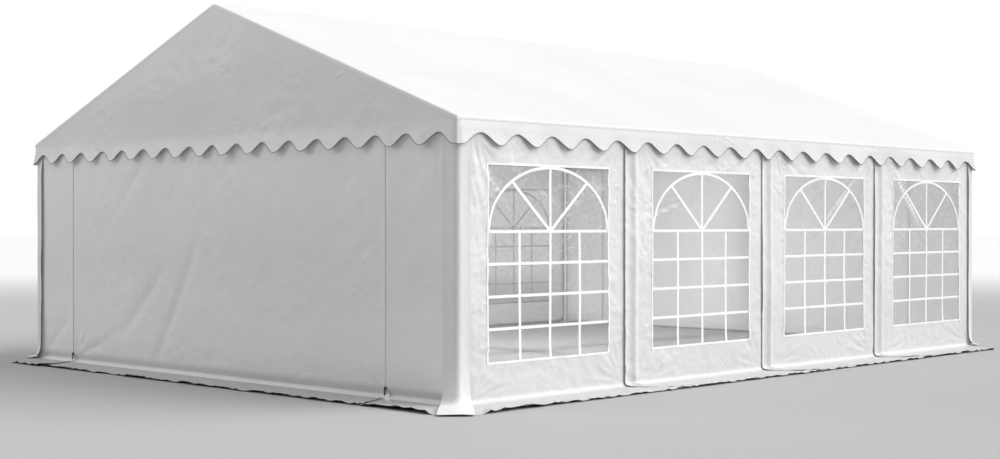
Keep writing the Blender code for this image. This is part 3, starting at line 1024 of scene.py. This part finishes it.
# %% [markdown]
# ## Windows
#
# A window is a sheet of clear soft film, welded into the wall behind a white border. White strips
# are welded onto it as bars: an arch with two spokes above, and four rows of four panes below. The
# film and its strips are cut flat once, then copied into the eight walls, where both follow the
# same small waves. Two marks on each film steer its material. One says where the film is crinkled
# and gets small painted glints: white strokes that stand for highlights. The other, "streaked",
# makes it milky along the folds, partly as painted highlight, and, by a haze chosen for each window
# after the picture, all over.

# %% Film and bar materials
GLINT_SIZE = (0.20, 0.20, 0.062)
GLINT_TURNS = ((-0.7, 0.0), (0.65, 5.0), (-0.3, 9.0))
# Grey of the film, and the white of its milky streaks and painted glints.
FILM_GREY = (0.25, 0.254, 0.26, 1.0)
FILM_MILKY_GLINT = (0.93, 0.93, 0.94, 1.0)


def film_material():
    """Clear film that greys what is behind it, with white streaks where it is creased: milky film, and
    painted glints that stand for highlights.
    """
    made, tree, shader = new_material("clear_window_film")
    place = add_node(tree, "ShaderNodeTexCoord").outputs["Object"]
    crinkle_glints = add_node(tree, "ShaderNodeAttribute", attribute_name="crinkle_glints").outputs["Fac"]
    streaked = add_node(tree, "ShaderNodeAttribute", attribute_name="streaked").outputs["Fac"]
    # Painted highlights: stretched noise in three directions gives short white strokes for glints.
    glint_strokes = []
    for turn, offset in GLINT_TURNS:
        laid = add_node(tree, "ShaderNodeMapping", vector_type="TEXTURE", Vector=place,
                        Location=(offset, 0.0, offset), Rotation=(0.0, turn, 0.0), Scale=GLINT_SIZE)
        glint_noise = noise_of(tree, laid.outputs["Vector"], Scale=1.0, Detail=1.0, Roughness=0.4, Distortion=0.7)
        glint_strokes.append(stretch(tree, glint_noise, From_Min=0.565, From_Max=0.75, To_Max=0.58))
    stronger = calculate(tree, "MAXIMUM", glint_strokes[0], glint_strokes[1])
    strongest = calculate(tree, "MAXIMUM", stronger, glint_strokes[2])
    glints = calculate(tree, "MULTIPLY_ADD", strongest, crinkle_glints, streaked, clamped=True)
    tone = add_node(tree, "ShaderNodeMix", data_type="RGBA", Factor=glints, A=FILM_GREY, B=FILM_MILKY_GLINT)
    cover = stretch(tree, glints, To_Min=0.15, To_Max=0.72)
    set_inputs(tree, shader, Base_Color=tone.outputs["Result"], Alpha=cover, Roughness=0.14,
               Normal=bumps(tree, glints, 0.25, 0.003))
    return made


def grained_material(name, colour, grain_scale, rough, strength, distance):
    """A plain colour with a fine grain, for strips and plastics; rough: its lowest and highest roughness."""
    made, tree, shader = new_material(name)
    place = add_node(tree, "ShaderNodeTexCoord").outputs["Object"]
    grain = noise_of(tree, place, Scale=grain_scale, Detail=2.0)
    dull = stretch(tree, grain, To_Min=rough[0], To_Max=rough[1])
    set_inputs(tree, shader, Base_Color=(*colour, 1.0), Roughness=dull,
               Normal=bumps(tree, grain, strength, distance))
    return made


clear_film = film_material()
white_strip = grained_material("white_welded_strip", (0.96, 0.96, 0.96), 160.0, (0.25, 0.4), 0.1, 0.0005)
print("materials", clear_film.name, white_strip.name)

# %% Flat film and flat bars
FILM = 0.0006
FILM_OVERLAP = 0.018
FILM_STEP = 0.040
STRIP = 0.0005
STRIP_LEVEL = 0.0006
BAR_WIDTH = 0.0265
ROW_WIDTH = 0.0225
ARCH_BAR = 0.0235
ARCH_STEPS = 64
BORDER_WIDTH = 0.018
BORDER_PLACE = 0.008
WINDOW_HEIGHT = WINDOW_HIGH.z - WINDOW_LOW.z
SPRING = 0.991
SPOKE_TURN = math.radians(51.0)
HALF_WINDOW = WINDOW_WIDTH / 2
ARCH_WIDTH = HALF_WINDOW - 0.006
ARCH_RISE = WINDOW_HEIGHT - SPRING - 0.008

film_u = stations([-HALF_WINDOW - FILM_OVERLAP, HALF_WINDOW + FILM_OVERLAP], [FILM_STEP])
film_v = stations([-FILM_OVERLAP, WINDOW_HEIGHT + FILM_OVERLAP], [FILM_STEP])
flat_film = cut_cloth("flat_film", film_u, film_v)
strips = []


def cut_strip(lines, width):
    strip = cut_cloth("strip", lines, np.array([-width / 2, width / 2]))
    strips.append(strip)
    return strip, *read_places(strip)[:, :2].T


def lay_strip(strip, u, v, level):
    """Puts a strip on its own level above the film."""
    write_places(strip, np.column_stack((u, v, np.full(len(u), level * STRIP_LEVEL))))


def add_strip(start, end, width, level):
    """A straight strip between two places on the window."""
    length = math.dist(start, end)
    run_u, run_v = (end[0] - start[0]) / length, (end[1] - start[1]) / length
    strip, along, aside = cut_strip(stations([0.0, length], [FILM_STEP]), width)
    u = start[0] + along * run_u - aside * run_v
    v = start[1] + along * run_v + aside * run_u
    lay_strip(strip, u, v, level)


def add_arch(level):
    """The arch: half an ellipse from the right springing over the top to the left one."""
    strip, turn, aside = cut_strip(stations([0.0, math.pi], [math.pi / ARCH_STEPS]), ARCH_BAR)
    normal_u, normal_v = np.cos(turn) * ARCH_RISE, np.sin(turn) * ARCH_WIDTH
    size = np.hypot(normal_u, normal_v)
    u = ARCH_WIDTH * np.cos(turn) - aside * normal_u / size
    v = SPRING + ARCH_RISE * np.sin(turn) - aside * normal_v / size
    lay_strip(strip, u, v, level)


# Where strips cross, each one lies on a level of its own: rows, bars, spokes, arch, border.
for row in (1, 2, 3, 4):
    add_strip((-HALF_WINDOW, row * SPRING / 4), (HALF_WINDOW, row * SPRING / 4), ROW_WIDTH, 1)
for u, top in ((-HALF_WINDOW / 2, SPRING), (HALF_WINDOW / 2, SPRING), (0.0, WINDOW_HEIGHT)):
    add_strip((u, 0.0), (u, top), BAR_WIDTH, 2)
for side in (-1, 1):
    spoke_end = (side * ARCH_WIDTH * math.cos(SPOKE_TURN), SPRING + ARCH_RISE * math.sin(SPOKE_TURN))
    add_strip((0.0, SPRING), spoke_end, BAR_WIDTH, 3 + side * 0.4)
add_arch(4.4)
edge_u, edge_v = HALF_WINDOW + BORDER_PLACE, WINDOW_HEIGHT + BORDER_PLACE
for v in (-BORDER_PLACE, edge_v):
    add_strip((-edge_u, v), (edge_u, v), BORDER_WIDTH, 5.4)
for u in (-edge_u, edge_u):
    add_strip((u, -BORDER_PLACE), (u, edge_v), BORDER_WIDTH, 6.4)
flat_bars = join(strips, "flat_bars")
print("bars with", len(flat_bars.data.polygons), "faces")

# %% Hang the windows
FILM_BEHIND = 0.0026
BARS_ABOVE_FILM = 0.0010

# How slack and how milky the films on the right are, one by one; on the left all are alike. The slack also
# sets how many painted glints a film gets.
RIGHT_FILMS = ((1.5, 0.03), (0.68, 0.10), (0.75, 0.15), (0.75, 0.42))
LEFT_FILM = (0.68, 0.24)


def film_relief(word, x, z, layer, slack):
    """The wall's relief at the welded edge, and only slow waves inside, where the film is smooth."""
    middle = np.floor((x + HALF_RUN) / BAY) * BAY - HALF_RUN + BAY / 2
    inside = smooth_step(HALF_WINDOW - np.abs(x - middle), 0.0, 0.10)
    inside *= smooth_step(np.minimum(z - WINDOW_LOW.z, WINDOW_HIGH.z - z), 0.0, 0.10)
    slow = 0.0070 * waves(x, z, 0.75, layer) + slack * 0.0025 * waves(x, z, 0.32, layer + 7)
    return blend(side_relief(word, x, z, layer), slow, inside)


def copy_piece(flat, name):
    copy = flat.copy()
    copy.data = flat.data.copy()
    copy.name = name
    copy.data.name = name
    bpy.context.scene.collection.objects.link(copy)
    return copy


def build_window(word, side, number, layer, slack, haze):
    name = f"{word}_window_{number}"
    window_low, window_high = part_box(name)
    middle = (window_low.x + window_high.x) / 2

    def place(u, v, out):
        x, z = middle + u, window_low.z + v
        y = WALL_SIDE + film_relief(word, x, z, layer, slack) + out
        return x, side * y, z

    film, bars = copy_piece(flat_film, f"{name}_film"), copy_piece(flat_bars, f"{name}_bars")
    hang(film, lambda u, v: place(u, v, -FILM_BEHIND), mirrored=side > 0, thickness=FILM)
    fasten(film, clear_film, [name])
    x, _, z = read_places(film).T
    # Painted highlights: high up on a slack film, white glints are painted; along the placed folds it is
    # painted milky, partly as highlights.
    upper = 0.1 + 0.9 * smooth_step(z, 0.7, 1.25)
    crinkle_glints = (slack - 0.6) * upper * (1.0 + 0.8 * waves(x, z, 0.5, layer + 9))
    streaked = sum(fold(x, z, begin, end, 0.024, 0.8) for begin, end, _, _ in PLACED_FOLDS[word])
    mark(film, "crinkle_glints", np.clip(crinkle_glints, 0.0, 1.0))
    mark(film, "streaked", streaked + haze)
    levels = read_places(bars)[:, 2]
    hang(bars, lambda u, v: place(u, v, levels - FILM_BEHIND + BARS_ABOVE_FILM), mirrored=side > 0,
         thickness=STRIP)
    finish_trim(bars, white_strip)


for number, right_film in enumerate(RIGHT_FILMS, 1):
    for (word, side, layer), film in zip(SIDES, (right_film, LEFT_FILM)):
        build_window(word, side, number, layer + 10 * number, *film)
bpy.data.objects.remove(flat_film)
bpy.data.objects.remove(flat_bars)

# %% [markdown]
# ## End walls
#
# Each end has a wide cloth between two zips and a narrow one at each side of it. Long slanting
# folds cross the wide cloth, where its own weight pulls it down from the tie tube. A small slit
# stays open at the foot of each zip, the wall is drawn in just above the fold, and the end of one
# flap lies over the start of the next one.

# %% Relief of the end walls
# Places along the foot where an end wall is pulled, and the direction of the folds in degrees.
END_PULLS = ((-2.9, 130), (-2.28, 50), (2.28, 130), (2.9, 50))
FRONT_FOLDS = [
    ((1.08, 1.95), (1.80, 1.25), 0.042, -0.010),
    ((0.20, 1.30), (0.98, -0.02), 0.055, -0.016),
    ((0.72, 1.02), (1.52, 0.26), 0.055, -0.016),
    ((1.30, 0.42), (2.25, 0.06), 0.040, -0.008),
    ((-0.52, 2.10), (-1.08, 1.28), 0.042, -0.009),
    ((2.40, 0.46), (2.88, 0.06), 0.040, -0.012),
    ((-0.20, 0.75), (-0.50, 0.45), 0.025, -0.006),
    ((2.26, 1.20), (1.60, 1.42), 0.030, -0.005),
]
REAR_FOLDS = [
    ((-1.10, 2.05), (-1.90, 0.95), 0.060, -0.007),
    ((1.05, 1.45), (-0.15, 0.05), 0.070, -0.009),
    ((1.70, 1.95), (0.80, 1.00), 0.060, -0.007),
]


def end_relief(word, y, z, layer):
    """How far an end wall stands out, in metres."""
    relief = 0.009 * waves(y, z, 0.8, layer) + 0.0030 * waves(y, z, 0.2, layer + 1)
    relief -= 0.0062 * creases(y, z, 62.0, 0.3, 0.12, layer + 2)
    relief -= 0.0062 * creases(y, z, -30.0, 0.24, 0.11, layer + 3)
    relief -= 0.0060 * creases(y, z, 8.0, 0.26, 0.10, layer + 4) * hump(z, 0.8, 0.5)
    for begin, end, width, amount in FRONT_FOLDS if word == "front" else REAR_FOLDS:
        relief += fold(y, z, begin, end, width, amount)
    for number, (place, middle) in enumerate(END_PULLS):
        relief += pull(y, z, (place, 0.05), middle, 35, 5, 0.5, 0.008, layer + number)
    return relief


print("folds placed by hand:", len(FRONT_FOLDS) + len(REAR_FOLDS))

# %% End walls
ZIP_GAP = 0.0022
ZIP_SINK = 0.005
ZIP_STEP = 0.006
SLIT_WIDTH = 0.014
SLIT_HEIGHT = 0.07
FOOT_TUCK = 0.028
TUCK_FROM = 0.015
TUCK_TO = 0.085
FOOT_ROLL = 0.009
FLAP_LAP = 0.010
FLAP_EDGE = 0.007
FLAP_CUT_SLANT = 0.5
# How much the flaps of the end walls are darkened: dust and painted shade.
FLAP_DUST_AND_SHADE = 0.43
END_STEP = 0.033

# Slants of the flap's left and right end, and the length of the left flap as a share.
END_FLAPS = {"front": (0.72, 0.75, 1.06), "rear": (1.0, -1.0, 1.0)}


def build_end_wall(node, end, start, stop, slants, zips, layer, flap_share):
    """A cloth from start to stop as seen from outside; zips says which edges have a zip."""
    word = node.split("_")[0]

    def trim(u, v):
        share = (u - start) / (stop - start)
        longer = 1.0 - (1.0 - flap_share * flap_reach(u, layer + 6)) * smooth_step(-v, 0.05, FLAP)
        slit = SLIT_WIDTH * (1.0 - smooth_step(np.abs(v - 0.01), 0.0, SLIT_HEIGHT))
        near_start = zips[0] * np.maximum(0.0, 1.0 - 12 * share)
        near_stop = zips[1] * np.maximum(0.0, 12 * share - 11)
        lap = FLAP_LAP * smooth_step(-v, 0.05, 0.10) * near_stop
        slant = blend(slants[0], slants[1], share)
        return u + slit * (near_start - near_stop) + lap + slant * past_fold(v) * longer, v * longer

    def shape(u, v):
        out, up, tilt = foot_path(v, END_FOOT)
        wall = smooth_step(v, -0.02, 0.03)
        beyond = past_fold(v)
        lift = flap_relief(u, v, WALL_SIDE, (f"{word}_left", f"{word}_right"), layer + 8)
        relief = wall * end_relief(word, -u, up, layer) + (1.0 - wall) * lift
        corner = smooth_step(WALL_SIDE - np.abs(u), 0.11, 0.19)
        edge = smooth_step(np.minimum(u - start, stop - u), 0.0, 0.07) * corner
        relief *= np.where(v > 0, 0.12 + 0.88 * edge, 1.0) * held_at_top(up)
        pressed = zips[0] * (1.0 - wall) * np.exp(-np.maximum(0.0, u - start - slants[0] * beyond) / 0.05)
        raised = zips[1] * (1.0 - wall) * np.exp(-np.maximum(0.0, stop + slants[1] * beyond - u) / 0.04)
        relief += (FLAP_LEVEL - relief) * pressed + FLAP_EDGE * raised * (1.0 - 0.6 * beyond / FLAP)
        for zipped, beside, sink in ((zips[0], u - start, ZIP_SINK), (zips[1], stop - u, 0.2 * ZIP_SINK)):
            relief -= zipped * wall * sink * np.exp(-beside / 0.009)
        relief -= FOOT_TUCK * corner * wall * (1.0 - smooth_step(up, TUCK_FROM, TUCK_TO))
        relief += FOOT_ROLL * hump(v, 0.004, 0.010)
        x = WALL_END + out + relief * np.cos(tilt)
        return end * x, -u, up + relief * np.sin(tilt)

    # The grid is fine beside the zips and at the fold.
    columns = [start, start + 0.024, start + 0.06, stop - 0.06, stop - 0.024, stop]
    rows = [-FLAP, -0.06, 0.06, 0.26, above_fold(WALL_TOP, END_FOOT)]
    across = stations(columns, [ZIP_STEP, 2 * ZIP_STEP, END_STEP, 2 * ZIP_STEP, ZIP_STEP])
    along = stations(rows, [0.028, ZIP_STEP, 0.0125, END_STEP])
    cloth = cut_cloth(f"{node}_cloth", across, along, trim)
    # Dust and painted shade on the flap: it is made much darker than its light makes it.
    mark(cloth, "dust_and_shade", FLAP_DUST_AND_SHADE * smooth_step(-read_places(cloth)[:, 1], 0.012, 0.035))
    hang(cloth, shape, mirrored=end > 0)
    fasten(cloth, end_cloth, [node, f"{word}_ground_flap"])


end_edge = WALL_SIDE - 0.02
left_cut, right_cut = -LEFT_ZIP, -RIGHT_ZIP
cut = FLAP_CUT_SLANT
for word, end, layer in (("front", -1, 130), ("rear", 1, 160)):
    left_slant, right_slant, longer = END_FLAPS[word]
    for piece, start, stop, slants, zips, flap_share in (
        ("wall_left", -end_edge, left_cut - ZIP_GAP, (left_slant, cut), (0, 1), longer),
        ("door", left_cut + ZIP_GAP, right_cut - ZIP_GAP, (cut, cut), (1, 1), 1.0),
        ("wall_right", right_cut + ZIP_GAP, end_edge, (cut, right_slant), (1, 0), 1.0),
    ):
        build_end_wall(f"{word}_{piece}", end, start, stop, slants, zips, layer, flap_share)

# %% [markdown]
# ## Zips
#
# The door is closed by a long zip at each side. A zip is two woven tapes with a row of plastic
# teeth between them, and a slider that sits at the foot when the door is closed. One tooth is
# modelled as a small bevelled block, and an Array modifier repeats it along the zip. The two tapes
# are one strip here, because they lie behind the edges of the cloths and their teeth are shut.

# %% Zip
TOOTH_PITCH = 0.008
TOOTH_SIZE = (0.0022, 0.0030, 0.0050)
TOOTH_ASIDE = 0.0012
TAPE_THICKNESS = 0.0008
TAPE_HALF = 0.016
TAPE_BEHIND = 0.0085
SLIDER_HEIGHT = 0.062
SLIDER_SIZE = (0.010, 0.022, 0.028)
TAB_SIZE = (0.0025, 0.019, 0.056)
PLASTIC_GRAIN = 220.0
PLASTIC_BUMPS = (0.25, 0.0003)

tape_cloth, zip_plastic, slider_plastic = [
    grained_material(name, colour, PLASTIC_GRAIN, rough, *PLASTIC_BUMPS)
    for name, colour, rough in (
        ("grey_zip_tape", (0.60, 0.60, 0.61), (0.52, 0.68)),
        ("grey_zip_plastic", (0.30, 0.305, 0.31), (0.37, 0.53)),
        ("dark_slider_plastic", (0.05, 0.05, 0.052), (0.32, 0.48)),
    )
]
print("materials", zip_plastic.name, slider_plastic.name)

# %% Teeth, tapes and slider


def add_box(size, place, bevel=0.0):
    """A block at its size and place, with rounded edges."""
    bpy.ops.object.select_all(action="DESELECT")
    bpy.ops.mesh.primitive_cube_add(size=1.0, location=place, scale=size)
    box = bpy.context.object
    bpy.ops.object.transform_apply(location=True, rotation=False, scale=True)
    if bevel:
        apply_modifier(box, "BEVEL", width=bevel, segments=1)
    return box


def build_zip(word, side_word, end, y):
    name = f"{word}_{side_word}_zip"
    low, high = SLIDER_HEIGHT + 0.02, WALL_TOP - 0.01
    x = end * (WALL_END - TAPE_BEHIND)
    count = int((high - low) / TOOTH_PITCH)
    rows = []
    for side in (-1, 1):
        height = low + (0.5 + 0.25 * side) * TOOTH_PITCH
        tooth = add_box(TOOTH_SIZE, (x, y + side * TOOTH_ASIDE, height), 0.0006)
        apply_modifier(tooth, "ARRAY", count=count, use_relative_offset=False, use_constant_offset=True,
                       constant_offset_displace=(0.0, 0.0, TOOTH_PITCH))
        rows.append(tooth)
    finish_trim(join(rows, f"{name}_teeth"), zip_plastic)
    tape_size = (TAPE_THICKNESS, 2 * TAPE_HALF, high - low + 0.05)
    tape = add_box(tape_size, (x - end * 0.003, y, (low + high) / 2 - 0.025))
    tape.name = f"{name}_tape"
    finish_trim(tape, tape_cloth)
    body = add_box(SLIDER_SIZE, (end * (WALL_END + 0.003), y, SLIDER_HEIGHT + 0.016), 0.003)
    pull_tab = add_box(TAB_SIZE, (end * (WALL_END + 0.009), y, SLIDER_HEIGHT - 0.012), 0.001)
    finish_trim(join([body, pull_tab], f"{name}_slider"), slider_plastic)


for word, end in (("front", -1), ("rear", 1)):
    build_zip(word, "right", end, RIGHT_ZIP)
    build_zip(word, "left", end, LEFT_ZIP)
print("four zips with teeth every", TOOTH_PITCH * 1000, "mm")

# %% [markdown]
# ## Corner strips
#
# At each corner a strip of cloth is wrapped round the corner post and closes the gap between two
# walls. At its foot it is no longer bent: it flattens out and lies on the ground, pointing away
# from the corner on the diagonal. The one at the front right is long there, the others are short.

# %% Corner strips
STRIP_RADIUS = 0.042
STRIP_FOOT = 0.075
STRIP_OUTSIDE = 0.006
STRIP_STEP = 0.008
FOOT_LEVEL = 0.013

# Each strip: the pieces that it replaces, its width on the end wall and on the long wall, how much
# its foot widens, how far its two edges stand off, and its pattern of noise.
CORNER_STRIPS = {
    "front_right": (["front_right_corner_flap", "right_wall_1"], (0.135, 0.125), 0.03, (0.006, 0.006), 190),
    "front_left": (["left_wall_1"], (0.125, 0.13), -0.2, (0.018, 0.005), 194),
    "rear_right": (["rear_wall_right"], (0.13, 0.12), -0.3, (0.006, 0.016), 198),
    "rear_left": (["rear_wall_left"], (0.13, 0.12), -0.3, (0.006, 0.014), 202),
}


def build_corner_strip(corner, nodes, wraps, spread, gapes, layer):
    word = corner.split("_")[1]
    end = -1 if corner.startswith("front") else 1
    side = -1 if word == "right" else 1
    reach = STRIP_REACHES[corner]
    bend = STRIP_RADIUS * math.pi / 4
    centre_x = WALL_END + STRIP_OUTSIDE - STRIP_RADIUS
    centre_y = WALL_SIDE + STRIP_OUTSIDE - STRIP_RADIUS

    def plan(u):
        """Place and normal in plan, both pointing away from the middle of the tent."""
        turn = np.clip((u + bend) / STRIP_RADIUS, 0.0, math.pi / 2)
        x = centre_x + STRIP_RADIUS * np.cos(turn) - np.maximum(0.0, u - bend)
        y = centre_y + STRIP_RADIUS * np.sin(turn) - np.maximum(0.0, -bend - u)
        return x, y, np.cos(turn), np.sin(turn)

    def shape(u, v):
        out, up, tilt = foot_path(v, STRIP_FOOT)
        x, y, normal_x, normal_y = plan(u)
        flat = smooth_step(-v, -0.28, 0.12)
        normal_x, normal_y = blend(normal_x, DIAGONAL, flat), blend(normal_y, DIAGONAL, flat)
        size = np.hypot(normal_x, normal_y)
        normal_x, normal_y = normal_x / size, normal_y / size
        wide = u * (1.0 + spread * smooth_step(-v, 0.0, reach))
        laid = smooth_step(-v, -0.14, 0.20)
        x = blend(x, centre_x + DIAGONAL * (STRIP_RADIUS - wide), laid)
        y = blend(y, centre_y + DIAGONAL * (STRIP_RADIUS + wide), laid)
        wavy = 1.0 + 0.6 * waves(0.0 * u, up, 0.4, layer + 2)
        free = gapes[0] * np.exp(-(u + wraps[0]) / 0.03) + gapes[1] * np.exp(-(wraps[1] - u) / 0.03)
        wall = smooth_step(v, -0.05, 0.06)
        ripple = 0.003 * waves(u, up, 0.35, layer) + 0.0012 * waves(3 * u, up, 0.12, layer + 1)
        relief = wall * (ripple + wavy * free * (1.0 - smooth_step(up, 1.8, 2.05)))
        relief += (1.0 - wall) * (FOOT_LEVEL + 0.15 * flap_lift(u, v, layer + 3))
        relief *= 1.0 - 0.6 * smooth_step(up, 1.95, 2.1)
        away = out + relief * np.cos(tilt)
        return end * (x + normal_x * away), side * (y + normal_y * away), up + relief * np.sin(tilt)

    across = stations([-wraps[0], wraps[1]], [STRIP_STEP])
    along = stations([-reach, -0.05, 0.20, above_fold(WALL_TOP, STRIP_FOOT)], [0.022, 0.010, 0.026])
    cloth = cut_cloth(f"{corner}_corner_strip", across, along)
    hang(cloth, shape, mirrored=end * side < 0)
    fasten(cloth, strip_cloth, nodes)


for corner, values in CORNER_STRIPS.items():
    build_corner_strip(corner, *values)

# %% [markdown]
# ## Steel frame
#
# The tubes show through the windows. Their shapes are right as they are, so they only get a
# better surface: zinc that was melted onto steel, with its pattern of large dull crystals.

# %% Galvanised steel


def steel_material():
    made, tree, shader = new_material("galvanised_steel")
    place = add_node(tree, "ShaderNodeTexCoord").outputs["Object"]
    crystals = add_node(tree, "ShaderNodeTexVoronoi", Vector=place, Scale=70.0).outputs["Color"]
    zinc = tones(tree, crystals, ((0.0, (0.60, 0.61, 0.62)), (1.0, (0.70, 0.71, 0.72))))
    dull = stretch(tree, crystals, To_Min=0.48, To_Max=0.62)
    set_inputs(tree, shader, Base_Color=zinc, Metallic=1.0, Roughness=dull)
    return made


steel = steel_material()
steel_nodes = [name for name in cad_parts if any(part in name for part in ("post", "rafter", "tube"))]
for name in steel_nodes:
    paint(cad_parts[name], steel)
print(len(steel_nodes), "steel pieces")
